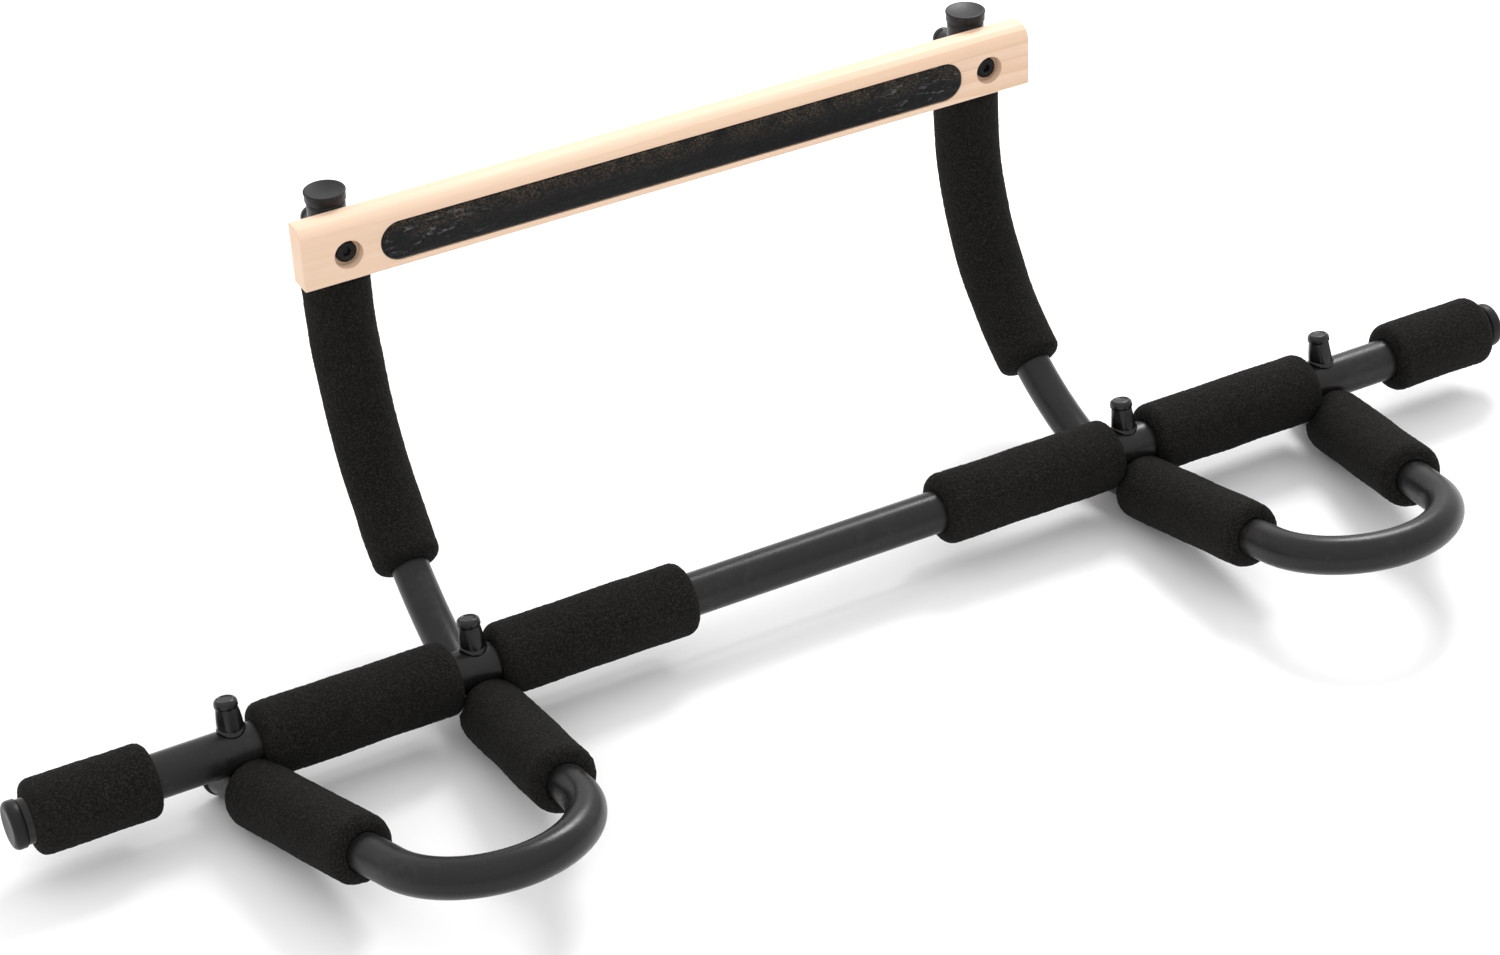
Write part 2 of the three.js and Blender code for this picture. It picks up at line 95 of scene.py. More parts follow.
def lean_of_bolts():
    """How far the bolts through the bar lean back from upright."""
    along = middle("left_inner_nut") - middle("left_inner_washer")
    return math.atan2(along.y, along.z)


LEAN = lean_of_bolts()
# From the bar's own frame, where the bolts are upright, to the frame that everything stands in.
BAR_FRAME = Matrix.Translation(middle("bar_centre_tube")) @ Matrix.Rotation(-LEAN, 4, "X")
TO_BAR = BAR_FRAME.inverted()
SIDE_LEVEL = -(BAR_RADIUS + SIDE_RADIUS + GAP - SADDLE_DEPTH)


def span(name, origin, direction):
    """Where a CAD node starts and ends along a line, and how far it reaches from that line."""
    start, end, radius = math.inf, -math.inf, 0.0
    for vertex in nodes[name].data.vertices:
        offset = TO_BAR @ vertex.co - origin
        along = offset.dot(direction)
        start, end = min(start, along), max(end, along)
        radius = max(radius, (offset - along * direction).length)
    return start, end, radius


# ---- Lines that pieces follow -----------------------------------------------------------------

class Line:
    """A straight run, from a point along a direction."""

    def __init__(self, origin, direction, length):
        self.origin, self.direction, self.length = origin, direction.normalized(), length

    def at(self, run):
        return self.origin + self.direction * run, self.direction


class Arc:
    """A run round a centre, from axis u towards axis v."""

    def __init__(self, centre, radius, u, v, start, end):
        self.centre, self.radius, self.u, self.v = centre, radius, u, v
        self.start, self.length = start, radius * (end - start)

    def at(self, run):
        angle = self.start + run / self.radius
        out = self.u * math.cos(angle) + self.v * math.sin(angle)
        along = self.v * math.cos(angle) - self.u * math.sin(angle)
        return self.centre + out * self.radius, along


class Route:
    """Runs joined end to end."""

    def __init__(self, *runs):
        self.runs = runs
        self.length = sum(run.length for run in runs)

    def at(self, run):
        for part in self.runs[:-1]:
            if run <= part.length:
                return part.at(run)
            run -= part.length
        return self.runs[-1].at(run)


def side_level_point(x):
    return Vector((x, 0, SIDE_LEVEL))


class SideFrame:
    """The lines of one side frame, in the bar's own frame. side is 1 at +X."""

    def __init__(self, side, word):
        self.side, self.word = side, word
        inner_x = side * abs(middle(f"{word}_inner_nut").x)
        outer_x = side * abs(middle(f"{word}_outer_nut").x)
        self.inner_bolt = side_level_point(inner_x)
        self.outer_bolt = side_level_point(outer_x)
        self.inner_forward = self.leg_direction("inner", self.inner_bolt)
        self.outer_forward = self.leg_direction("outer", self.outer_bolt)
        self.back = -self.inner_forward
        self.arm = self.arm_runs()

    def leg_direction(self, kind, bolt):
        grip = TO_BAR @ middle(f"{self.word}_{kind}_leg_grip")
        flat = grip - bolt
        return Vector((flat.x, flat.y, 0)).normalized()

    def in_arm(self, run, height):
        """A point of the arm's upright plane: behind the bolt, at a height."""
        point = self.inner_bolt + self.back * run
        return Vector((point.x, point.y, height))

    def arm_runs(self):
        up, down = Vector((0, 0, 1)), Vector((0, 0, -1))
        foot_centre = self.in_arm(FOOT_BEND_START, SIDE_LEVEL + FOOT_BEND_RADIUS)
        foot = Arc(foot_centre, FOOT_BEND_RADIUS, down, self.back, 0, FOOT_BEND_ANGLE)
        out = down * math.cos(FOOT_BEND_ANGLE) + self.back * math.sin(FOOT_BEND_ANGLE)
        long_centre = foot_centre - out * (ARM_BEND_RADIUS - FOOT_BEND_RADIUS)
        end = math.pi / 2 + LEAN
        bend = Arc(long_centre, ARM_BEND_RADIUS, down, self.back, FOOT_BEND_ANGLE, end)
        top_point, rise = bend.at(bend.length)
        top_end = span(f"{self.word}_side_frame", top_point, rise)[1]
        self.rise = rise
        return foot, bend, Line(top_point, rise, top_end)

    def loop_run(self):
        """The bend that touches both legs and reaches as far forward as the CAD tube does."""
        forward = Vector((0, -1, 0))
        reach = span(f"{self.word}_side_frame", Vector(), forward)[1] - SIDE_RADIUS
        inner_toe = math.atan2(self.side * self.inner_forward.x, -self.inner_forward.y)
        outer_toe = math.atan2(-self.side * self.outer_forward.x, -self.outer_forward.y)
        secants = 1 / math.cos(inner_toe) + 1 / math.cos(outer_toe)
        tangents = math.tan(inner_toe) + math.tan(outer_toe)
        width = abs(self.outer_bolt.x) - abs(self.inner_bolt.x)
        radius = (width - reach * tangents) / (secants - tangents)
        centre_x = abs(self.inner_bolt.x) + (reach - radius) * math.tan(inner_toe)
        centre_x += radius / math.cos(inner_toe)
        centre = Vector((self.side * centre_x, radius - reach, SIDE_LEVEL))
        outward = Vector((self.side, 0, 0))
        return Arc(centre, radius, outward, forward, outer_toe, math.pi - inner_toe)

    def route(self):
        back = -self.outer_forward
        rear_length = span(f"{self.word}_rear_leg_cap", self.outer_bolt, back)[0]
        rear_length = max(rear_length, 0) + PLUG_LENGTH
        rear_end = self.outer_bolt + back * rear_length
        loop = self.loop_run()
        loop_start, loop_end = loop.at(0)[0], loop.at(loop.length)[0]
        foot_start = self.arm[0].at(0)[0]
        outer_leg = Line(rear_end, loop_start - rear_end, (loop_start - rear_end).length)
        inner_leg = Line(loop_end, foot_start - loop_end, (foot_start - loop_end).length)
        return Route(outer_leg, loop, inner_leg, *self.arm)


# ---- Mesh making ------------------------------------------------------------------------------

def make_piece(name, verts, faces, material, slot, *replaced, matrix=BAR_FRAME):
    mesh = bpy.data.meshes.new(name)
    mesh.from_pydata([tuple(matrix @ Vector(v)) for v in verts], [], faces)
    return finish_piece(name, mesh, material, slot, *replaced)


def finish_piece(name, mesh, material, slot, *replaced):
    build = bmesh.new()
    build.from_mesh(mesh)
    bmesh.ops.recalc_face_normals(build, faces=build.faces)
    build.to_mesh(mesh)
    build.free()
    for polygon in mesh.polygons:
        polygon.use_smooth = True
    mesh.materials.append(material)
    piece = bpy.data.objects.new(name, mesh)
    bpy.context.scene.collection.objects.link(piece)
    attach(piece, "root")
    if replaced:
        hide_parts(*replaced)
    return piece


def ring_faces(first, second, count):
    return [
        (first + i, first + (i + 1) % count, second + (i + 1) % count, second + i)
        for i in range(count)
    ]


def cross_frame(along):
    """Two directions square to a run, the second one level or nearly so."""
    reference = Vector((0, 0, 1)) if abs(along.z) < 0.9 else Vector((0, -1, 0))
    side = along.cross(reference).normalized()
    return side, side.cross(along).normalized()


def skin_along(route, profile, count, shape=None):
    """Rings of points round a route. profile is (run, radius) pairs that close on themselves or
    start and end on the route itself. shape(run, radius, angle) may change a radius."""
    verts, faces, rings = [], [], []
    side = up = None
    for run, radius in profile:
        point, along = route.at(run)
        if side is None:
            side, up = cross_frame(along)
        side = (side - along * side.dot(along)).normalized()
        up = side.cross(along)
        if radius < 1e-7:
            rings.append((len(verts), 1))
            verts.append(point)
            continue
        rings.append((len(verts), count))
        for i in range(count):
            angle = 2 * math.pi * i / count
            reach = shape(run, radius, angle) if shape else radius
            verts.append(point + side * (reach * math.cos(angle)) + up * (reach * math.sin(angle)))
    closed = profile[0][1] > 1e-7
    pairs = list(zip(rings, rings[1:]))
    if closed:
        pairs.append((rings[-1], rings[0]))
    for (first, first_count), (second, second_count) in pairs:
        if first_count == 1:
            faces += [(first, second + (i + 1) % count, second + i) for i in range(count)]
        elif second_count == 1:
            faces += [(first + i, first + (i + 1) % count, second) for i in range(count)]
        else:
            faces += ring_faces(first, second, count)
    return verts, faces


def rounded_end(run, radius, size, steps=6):
    """Profile points round the outer corner at the far end of a turned piece."""
    angles = [math.pi / 2 * i / steps for i in range(steps + 1)]
    return [
        (run - size + size * math.sin(a), radius - size + size * math.cos(a)) for a in angles
    ]


def steps_between(start, end, step):
    count = max(2, round(abs(end - start) / step))
    return [start + (end - start) * i / count for i in range(1, count)]


# ---- Shader groups ----------------------------------------------------------------------------

def add_node(tree, kind, links=None, **values):
    """A shader node. links set its sockets; values set its settings, or else its sockets."""
    made = tree.nodes.new(kind)
    for key, value in values.items():
        name = key.replace("_", " ").title() if key not in dir(made) else key
        if key in dir(made):
            setattr(made, key, value)
        else:
            made.inputs[name].default_value = value
    for key, value in (links or {}).items():
        socket = made.inputs[key]
        if isinstance(value, bpy.types.NodeSocket):
            tree.links.new(value, socket)
        else:
            socket.default_value = value
    return made


def math_node(tree, operation, first, second=0.0):
    return add_node(tree, "ShaderNodeMath", {0: first, 1: second}, operation=operation).outputs[0]


def mix_colour(tree, factor, first, second, blend="MIX"):
    made = add_node(tree, "ShaderNodeMix", data_type="RGBA", blend_type=blend)
    for socket, value in ((made.inputs[0], factor), (made.inputs[6], first), (made.inputs[7], second)):
        if isinstance(value, bpy.types.NodeSocket):
            tree.links.new(value, socket)
        else:
            socket.default_value = value
    return made.outputs[2]


def ramp(tree, value, low, high, low_out=0.0, high_out=1.0):
    made = add_node(tree, "ShaderNodeMapRange", {
        "Value": value, "From Min": low, "From Max": high, "To Min": low_out, "To Max": high_out,
    })
    return made.outputs["Result"]


def noise_value(tree, vector, scale, detail=2.0, roughness=0.5, distortion=0.0):
    made = add_node(tree, "ShaderNodeTexNoise", {
        "Vector": vector, "Scale": scale, "Detail": detail, "Roughness": roughness,
        "Distortion": distortion,
    })
    return made.outputs["Fac"]


def new_group(name, inputs, outputs):
    """An empty shader group. inputs are (name, kind, default); outputs are (name, kind)."""
    tree = bpy.data.node_groups.new(name, "ShaderNodeTree")
    for label, kind, default in inputs:
        socket = tree.interface.new_socket(label, in_out="INPUT", socket_type=kind)
        if default is not None:
            socket.default_value = default
    for label, kind in outputs:
        tree.interface.new_socket(label, in_out="OUTPUT", socket_type=kind)
    inside = tree.nodes.new("NodeGroupInput").outputs
    outside = tree.nodes.new("NodeGroupOutput").inputs
    return tree, inside, outside


FLOAT, COLOUR, VECTOR = "NodeSocketFloat", "NodeSocketColor", "NodeSocketVector"


def handling_marks_group():
    """Slow mottling, rubbed spots and faint dust: changes a colour and a roughness."""
    tree, inside, outside = new_group("handling_marks", [
        ("Vector", VECTOR, None), ("Colour", COLOUR, (0.1, 0.1, 0.1, 1)),
        ("Marked Colour", COLOUR, (0.2, 0.2, 0.2, 1)), ("Amount", FLOAT, 0.3),
        ("Roughness", FLOAT, 0.5), ("Scale", FLOAT, 30.0),
    ], [("Colour", COLOUR), ("Roughness", FLOAT)])
    slow = noise_value(tree, inside["Vector"], inside["Scale"], 3.0, 0.6)
    fine_scale = math_node(tree, "MULTIPLY", inside["Scale"], 9.0)
    fine = noise_value(tree, inside["Vector"], fine_scale, 4.0, 0.7)
    rubbed = ramp(tree, math_node(tree, "MULTIPLY", slow, fine), 0.27, 0.42)
    factor = math_node(tree, "MULTIPLY", rubbed, inside["Amount"])
    colour = mix_colour(tree, factor, inside["Colour"], inside["Marked Colour"])
    drift = ramp(tree, slow, 0.3, 0.7, -0.06, 0.06)
    speck = ramp(tree, fine, 0.3, 0.7, -0.04, 0.04)
    rough = math_node(tree, "ADD", inside["Roughness"], math_node(tree, "ADD", drift, speck))
    tree.links.new(colour, outside["Colour"])
    tree.links.new(rough, outside["Roughness"])
    return tree


def skin_texture_group():
    """The height of a fine skin: orange peel on paint, spark texture on moulded plastic."""
    tree, inside, outside = new_group("skin_texture", [
        ("Vector", VECTOR, None), ("Scale", FLOAT, 900.0), ("Coarse Share", FLOAT, 0.3),
    ], [("Height", FLOAT)])
    fine = noise_value(tree, inside["Vector"], inside["Scale"], 2.0, 0.5)
    coarse_scale = math_node(tree, "MULTIPLY", inside["Scale"], 0.18)
    coarse = noise_value(tree, inside["Vector"], coarse_scale, 2.0, 0.5)
    weighted = math_node(tree, "MULTIPLY", coarse, inside["Coarse Share"])
    tree.links.new(math_node(tree, "ADD", fine, weighted), outside["Height"])
    return tree


MARKS = handling_marks_group()
SKIN = skin_texture_group()


def new_material(name):
    """A material with only its Principled shader, and the object's own coordinates."""
    material = bpy.data.materials.new(name)
    material.use_nodes = True
    tree = material.node_tree
    shader = next(n for n in tree.nodes if n.type == "BSDF_PRINCIPLED")
    place = tree.nodes.new("ShaderNodeTexCoord").outputs["Object"]
    return material, tree, shader, place


def use_group(tree, group, place, **values):
    made = tree.nodes.new("ShaderNodeGroup")
    made.node_tree = group
    tree.links.new(place, made.inputs["Vector"])
    for key, value in values.items():
        made.inputs[key.replace("_", " ").title()].default_value = value
    return made.outputs


def bump(tree, shader, height, distance, strength=1.0):
    made = add_node(tree, "ShaderNodeBump", {
        "Height": height, "Distance": distance, "Strength": strength,
    })
    tree.links.new(made.outputs["Normal"], shader.inputs["Normal"])


def rgb(red, green, blue):
    return (red, green, blue, 1.0)


def coated_material(name, colour, marked, amount, roughness, metallic, scale, skin, depth, gloss):
    """A hard surface with handling marks and a fine skin."""
    material, tree, shader, place = new_material(name)
    marks = use_group(
        tree, MARKS, place, colour=colour, marked_colour=marked, amount=amount,
        roughness=roughness, scale=scale)
    tree.links.new(marks["Colour"], shader.inputs["Base Color"])
    tree.links.new(marks["Roughness"], shader.inputs["Roughness"])
    height = use_group(tree, SKIN, place, scale=skin)["Height"]
    bump(tree, shader, height, depth)
    shader.inputs["Metallic"].default_value = metallic
    shader.inputs["Specular IOR Level"].default_value = gloss
    return material


def foam_material():
    """Open-celled foam rubber: dull, with small dark cells and a faint paler bloom."""
    material, tree, shader, place = new_material("grip_foam")
    cells = add_node(tree, "ShaderNodeTexVoronoi", {"Vector": place, "Scale": 620.0})
    cell_depth = ramp(tree, cells.outputs["Distance"], 0.15, 0.75)
    grain = noise_value(tree, place, 950.0, 3.0, 0.75)
    bloom = ramp(tree, noise_value(tree, place, 26.0, 4.0, 0.65), 0.35, 0.75)
    base = mix_colour(tree, bloom, rgb(0.0045, 0.0042, 0.0038), rgb(0.0070, 0.0066, 0.0060))
    speckle = ramp(tree, grain, 0.46, 0.66)
    colour = mix_colour(tree, speckle, base, rgb(0.0240, 0.0226, 0.0208))
    tree.links.new(colour, shader.inputs["Base Color"])
    shader.inputs["Roughness"].default_value = 0.96
    shader.inputs["Specular IOR Level"].default_value = 0.12
    height = math_node(tree, "ADD", cell_depth, grain)
    bump(tree, shader, height, 0.35 * MM, 0.8)
    return material


WOOD_PALE = rgb(0.85, 0.640, 0.480)
WOOD_WARM = rgb(0.81, 0.570, 0.415)
WOOD_LATE = rgb(0.70, 0.440, 0.270)
WOOD_FIBRE = rgb(0.72, 0.500, 0.345)


def wood_material():
    """Pale planed pine with its grain along X: rings about a far centre and fine fibres."""
    material, tree, shader, place = new_material("pale_pine")
    stretch = add_node(tree, "ShaderNodeMapping", {"Vector": place, "Scale": (0.06, 1.0, 1.0)})
    stretched = stretch.outputs["Vector"]
    wander = noise_value(tree, stretched, 26.0, 2.0, 0.5)
    shift = add_node(tree, "ShaderNodeCombineXYZ", {"Y": ramp(tree, wander, 0, 1, -0.006, 0.006)})
    centre = add_node(tree, "ShaderNodeMapping", {"Vector": stretched, "Location": (0, 0.06, -0.30)})
    moved = add_node(tree, "ShaderNodeVectorMath", {
        0: centre.outputs["Vector"], 1: shift.outputs["Vector"]}, operation="ADD")
    rings = add_node(tree, "ShaderNodeTexWave", {
        "Vector": moved.outputs["Vector"], "Scale": 105.0, "Distortion": 1.6, "Detail": 3.0,
        "Detail Scale": 1.4, "Detail Roughness": 0.6,
    }, wave_type="RINGS", rings_direction="X", wave_profile="SAW")
    late = ramp(tree, rings.outputs["Fac"], 0.35, 1.0)
    fibre_place = add_node(tree, "ShaderNodeMapping", {"Vector": place, "Scale": (0.02, 1.0, 1.0)})
    fibres = noise_value(tree, fibre_place.outputs["Vector"], 1500.0, 3.0, 0.6)
    tone = noise_value(tree, stretched, 60.0, 3.0, 0.5)
    pale = mix_colour(tree, ramp(tree, tone, 0.3, 0.7), WOOD_PALE, WOOD_WARM)
    x = add_node(tree, "ShaderNodeSeparateXYZ", {"Vector": place}).outputs["X"]
    strength = ramp(tree, x, -0.1, 0.2, 0.16, 0.6)
    ringed = mix_colour(tree, math_node(tree, "MULTIPLY", late, strength), pale, WOOD_LATE)
    streaks = math_node(tree, "MULTIPLY", ramp(tree, fibres, 0.45, 0.8), 0.45)
    colour = mix_colour(tree, streaks, ringed, WOOD_FIBRE)
    tree.links.new(colour, shader.inputs["Base Color"])
    rough = ramp(tree, fibres, 0.2, 0.8, 0.5, 0.66)
    tree.links.new(rough, shader.inputs["Roughness"])
    height = math_node(tree, "ADD", fibres, math_node(tree, "MULTIPLY", late, 0.4))
    bump(tree, shader, height, 0.08 * MM, 0.6)
    return material


def pad_material():
    """Sheet rubber: black with a bluish cast, creased, with a painted lit band of brownish speckles
    along its upper half and painted glints near its ends.
    """
    material, tree, shader, place = new_material("sheet_rubber")
    marks = use_group(
        tree, MARKS, place, colour=rgb(0.0028, 0.0032, 0.0036),
        marked_colour=rgb(0.030, 0.028, 0.027), amount=0.25, roughness=0.36, scale=70.0)
    split = add_node(tree, "ShaderNodeSeparateXYZ", {"Vector": place}).outputs
    low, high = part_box("header_pad")
    upper = ramp(tree, split["Z"], (low.z + high.z) / 2 - 2 * MM, high.z - 2 * MM)
    clouds = ramp(tree, noise_value(tree, place, 55.0, 4.0, 0.7), 0.36, 0.58)
    grains = ramp(tree, noise_value(tree, place, 800.0, 3.0, 0.8), 0.46, 0.64)
    # painted light: a brownish speckled band on the upper half of the crowned face, where it turns up
    # to the light
    painted_top_light = math_node(tree, "MULTIPLY", math_node(tree, "MULTIPLY", upper, clouds), grains)
    top_lit_colour = mix_colour(tree, painted_top_light, marks["Colour"], rgb(0.110, 0.078, 0.050))
    pits = ramp(tree, noise_value(tree, place, 1100.0, 2.0, 0.8), 0.52, 0.70, 0.0, 0.5)
    pitted = mix_colour(tree, pits, top_lit_colour, rgb(0.030, 0.031, 0.033))
    # painted glints: pale grey streaks painted along creases near the pad's ends
    ends = ramp(tree, math_node(tree, "ABSOLUTE", split["X"]), 0.30 * PAD_LENGTH, 0.44 * PAD_LENGTH)
    along = add_node(tree, "ShaderNodeMapping", {"Vector": place, "Scale": (0.25, 1.0, 1.0)})
    folds = ramp(tree, noise_value(tree, along.outputs["Vector"], 330.0, 3.0, 0.7, 0.8), 0.57, 0.71)
    painted_glints = math_node(tree, "MULTIPLY", math_node(tree, "MULTIPLY", folds, ends), 0.75)
    colour = mix_colour(tree, painted_glints, pitted, rgb(0.230, 0.233, 0.245))
    tree.links.new(colour, shader.inputs["Base Color"])
    rough = math_node(tree, "ADD", marks["Roughness"], math_node(tree, "MULTIPLY", upper, 0.2))
    tree.links.new(rough, shader.inputs["Roughness"])
    shader.inputs["Specular IOR Level"].default_value = 0.15
    stretch = add_node(tree, "ShaderNodeMapping", {"Vector": place, "Scale": (0.35, 1.0, 1.0)})
    creases = noise_value(tree, stretch.outputs["Vector"], 190.0, 4.0, 0.65, 1.2)
    skin = use_group(tree, SKIN, place, scale=1100.0)["Height"]
    height = math_node(tree, "ADD", math_node(tree, "MULTIPLY", creases, 2.2), skin)
    bump(tree, shader, height, 0.35 * MM, 0.8)
    return material


PAINT = coated_material(
    "powder_coat", rgb(0.0082, 0.0073, 0.0080), rgb(0.036, 0.032, 0.035), 0.34, 0.30, 0.0, 22.0,
    1300.0, 0.05 * MM, 0.29)
CAP_PLASTIC = coated_material(
    "cap_plastic", rgb(0.0100, 0.0092, 0.0098), rgb(0.050, 0.047, 0.050), 0.35, 0.42, 0.0, 60.0,
    1500.0, 0.05 * MM, 0.20)
NUT_CAP_PLASTIC = coated_material(
    "nut_cap_plastic", rgb(0.0050, 0.0048, 0.0046), rgb(0.030, 0.029, 0.028), 0.3, 0.30, 0.0, 90.0,
    1500.0, 0.04 * MM, 0.36)
BLACK_STEEL = coated_material(
    "blackened_steel", rgb(0.007, 0.007, 0.0073), rgb(0.05, 0.047, 0.044), 0.35, 0.45, 0.5, 120.0,
    1800.0, 0.03 * MM, 0.3)
FOAM = foam_material()
WOOD = wood_material()
RUBBER = pad_material()


# ---- Tubes ------------------------------------------------------------------------------------

TUBE_SIDES = 64
TUBE_EDGE = 0.4 * MM
TUBE_WALL = 1.5 * MM


def tube_profile(length, radius, step):
    bore = radius - TUBE_WALL
    runs = [TUBE_EDGE, *steps_between(TUBE_EDGE, length - TUBE_EDGE, step), length - TUBE_EDGE]
    outside = [(0, radius - TUBE_EDGE), *((run, radius) for run in runs)]
    outside += [(length, radius - TUBE_EDGE), (length, bore)]
    return [(0, bore), *outside, *((run, bore) for run in reversed(runs))]


def build_bar_tubes():
    along = Vector((1, 0, 0))
    for name in ("bar_left_tube", "bar_centre_tube", "bar_right_tube"):
        low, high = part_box(name)
        start, end = low.x, high.x
        if name == "bar_centre_tube":
            start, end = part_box("bar_left_tube")[1].x + GAP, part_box("bar_right_tube")[0].x - GAP
        route = Line(Vector((start, 0, 0)), along, end - start)
        verts, faces = skin_along(route, tube_profile(end - start, BAR_RADIUS, 20 * MM), TUBE_SIDES)
        make_piece(f"{name}_wall", verts, faces, PAINT, "paint", name)


def dented(vert):
    """A point of a bent tube's wall, pressed down to where the bar sits in it."""
    inside = math.hypot(vert.y, vert.z + BAR_RADIUS + SIDE_RADIUS) < SIDE_RADIUS - TUBE_WALL / 2
    seat = BAR_RADIUS + GAP + (TUBE_WALL if inside else 0)
    if abs(vert.y) >= seat:
        return vert
    return Vector((vert.x, vert.y, min(vert.z, -math.sqrt(seat ** 2 - vert.y ** 2))))


def build_side_tube(lines):
    route = lines.route()
    verts, faces = skin_along(route, tube_profile(route.length, SIDE_RADIUS, 2.5 * MM), TUBE_SIDES)
    verts = [dented(vert) for vert in verts]
    name = f"{lines.word}_side_frame"
    make_piece(f"{name}_tube", verts, faces, PAINT, "paint", name)


# ---- End caps ---------------------------------------------------------------------------------

def cap_profile(start, end, radius, edge, dish, collar):
    """A plug, a wall against the tube, a rim with a rounded edge and a dished face."""
    plug = radius * 0.72
    foot = start + PLUG_LENGTH - 0.2 * MM
    lip = 0.4 * MM
    wall = radius - (0.35 * MM if collar else 0.1 * MM)
    rim = [(foot, wall - 2 * lip), (foot + 2 * lip, wall)]
    if collar:
        rim += [(end - collar, wall), (end - collar + 0.2 * MM, radius - 0.05 * MM)]
    inner = radius - edge - 0.5 * MM
    dished = [
        (end - dish * (1 - share ** 2), inner * share) for share in (0.96, 0.85, 0.7, 0.5, 0.25, 0.0)
    ]
    return [
        (start, 0.0), (start, plug - lip), (start + lip, plug), (foot, plug), *rim,
        *rounded_end(end, radius, edge), (end, inner), *dished,
    ]


def build_cap(name, origin, direction, edge, dish, collar=0.0):
    start, end, radius = span(name, origin, direction)
    profile = cap_profile(start, end, radius, edge, dish, collar)
    verts, faces = skin_along(Line(origin, direction, end), profile, TUBE_SIDES)
    piece = make_piece(f"{name}_moulding", verts, faces, CAP_PLASTIC, "plastic", name)
    piece.data.set_sharp_from_angle(angle=math.radians(50))


# ---- Foam grips -------------------------------------------------------------------------------

def grip_profile(length, bore, radius):
    e = GRIP_END_RADIUS
    runs = [e, *steps_between(e, length - e, GRIP_MESH_STEP), length - e]
    first = [(e - e * math.cos(a), radius - e + e * math.sin(a)) for a in corner_angles()]
    last = [(length - r, w) for r, w in reversed(first)]
    face_rings = [bore + (radius - e - bore) * t for t in (0.0, 0.35, 0.7)]
    return [
        *((0.0, r) for r in face_rings), *first, *((run, radius) for run in runs[1:-1]), *last,
        *((length, r) for r in reversed(face_rings)),
        *((length * t, bore) for t in (0.75, 0.5, 0.25)),
    ]


def corner_angles(steps=6):
    return [math.pi / 2 * i / steps for i in range(steps + 1)]


def foam_skin(seed):
    """Swells and open cells on a grip: a slow wander of its radius, and a fine ragged skin."""
    offset = Vector((seed * 7.3, seed * 3.1, 0))

    def shape(run, radius, angle):
        ring = Vector((math.cos(angle), math.sin(angle), 0)) * 0.9
        slow = noise.noise(offset + ring + Vector((0, 0, run / (28 * MM))))
        place = Vector((math.cos(angle) * radius, math.sin(angle) * radius, run)) / (1.9 * MM)
        fine = noise.noise(place + offset)
        return radius + FOAM_WANDER * slow + FOAM_ROUGHNESS * fine - FOAM_WANDER * 0.5

    return shape


def build_grip(name, route, length, bore, radius, seed, press=None):
    count = round(2 * math.pi * radius / GRIP_MESH_STEP)
    skin = foam_skin(seed)

    def shape(run, reach, angle):
        return reach if reach <= bore * 1.001 else skin(run, reach, angle)

    verts, faces = skin_along(route, grip_profile(length, bore, radius), count, shape)
    if press:
        verts = [press(vert) for vert in verts]
    piece = make_piece(f"{name}_foam", verts, faces, FOAM, "foam", name)


BAR_GRIP_SPANS = []               # where each bar grip starts and ends along the bar


def build_bar_grip(name, direction, seed):
    start, end, _ = span(name, Vector(), direction)
    BAR_GRIP_SPANS.append(sorted((direction.x * start, direction.x * end)))
    route = Line(direction * start, direction, end - start)
    build_grip(name, route, end - start, BAR_RADIUS + GAP, BAR_GRIP_RADIUS, seed)


def room_radius(x):
    """How far the bar and its grips reach round the bar's axis at a place along it."""
    reach = BAR_RADIUS
    for start, end in BAR_GRIP_SPANS:
        inside = min(x - start, end - x)
        if inside > 0:
            corner = max(0.0, GRIP_END_RADIUS - inside)
            fall = GRIP_END_RADIUS - math.sqrt(GRIP_END_RADIUS ** 2 - corner ** 2)
            reach = max(reach, BAR_GRIP_RADIUS - fall)
    return reach + 2 * GAP


def on_floor(vert):
    """A point of a sleeve that rests on the floor, flattened where it would sink in."""
    place = BAR_FRAME @ vert
    place.z = max(place.z, 0.0)
    return TO_BAR @ place


def build_leg_grip(name, bolt, forward, seed):
    """A sleeve whose back end is pressed in by the bar and the grips above it."""

    def press(vert):
        room = room_radius(vert.x)
        if abs(vert.z) >= room or vert.y >= 0:
            return on_floor(vert)
        clear = math.sqrt(room ** 2 - vert.z ** 2)
        depth = clear + vert.y
        return on_floor(vert + forward * (max(depth, 0.0) / -forward.y))

    end = span(name, bolt, forward)[1]
    length = end - LEG_GRIP_START
    route = Line(bolt + forward * LEG_GRIP_START, forward, length)
    build_grip(name, route, length, SIDE_RADIUS + GAP, SIDE_GRIP_RADIUS, seed, press)


def build_bar_grips():
    seed = 1
    for side, word in SIDES:
        for kind in ("centre", "middle", "end"):
            build_bar_grip(f"{word}_{kind}_grip", Vector((side, 0, 0)), seed)
            seed += 1


def build_side_grips(lines, seed):
    legs = (
        ("inner", lines.inner_bolt, lines.inner_forward),
        ("outer", lines.outer_bolt, lines.outer_forward),
    )
    for kind, bolt, forward in legs:
        build_leg_grip(f"{lines.word}_{kind}_leg_grip", bolt, forward, seed)
        seed += 1
    build_arm_grip(lines, seed)


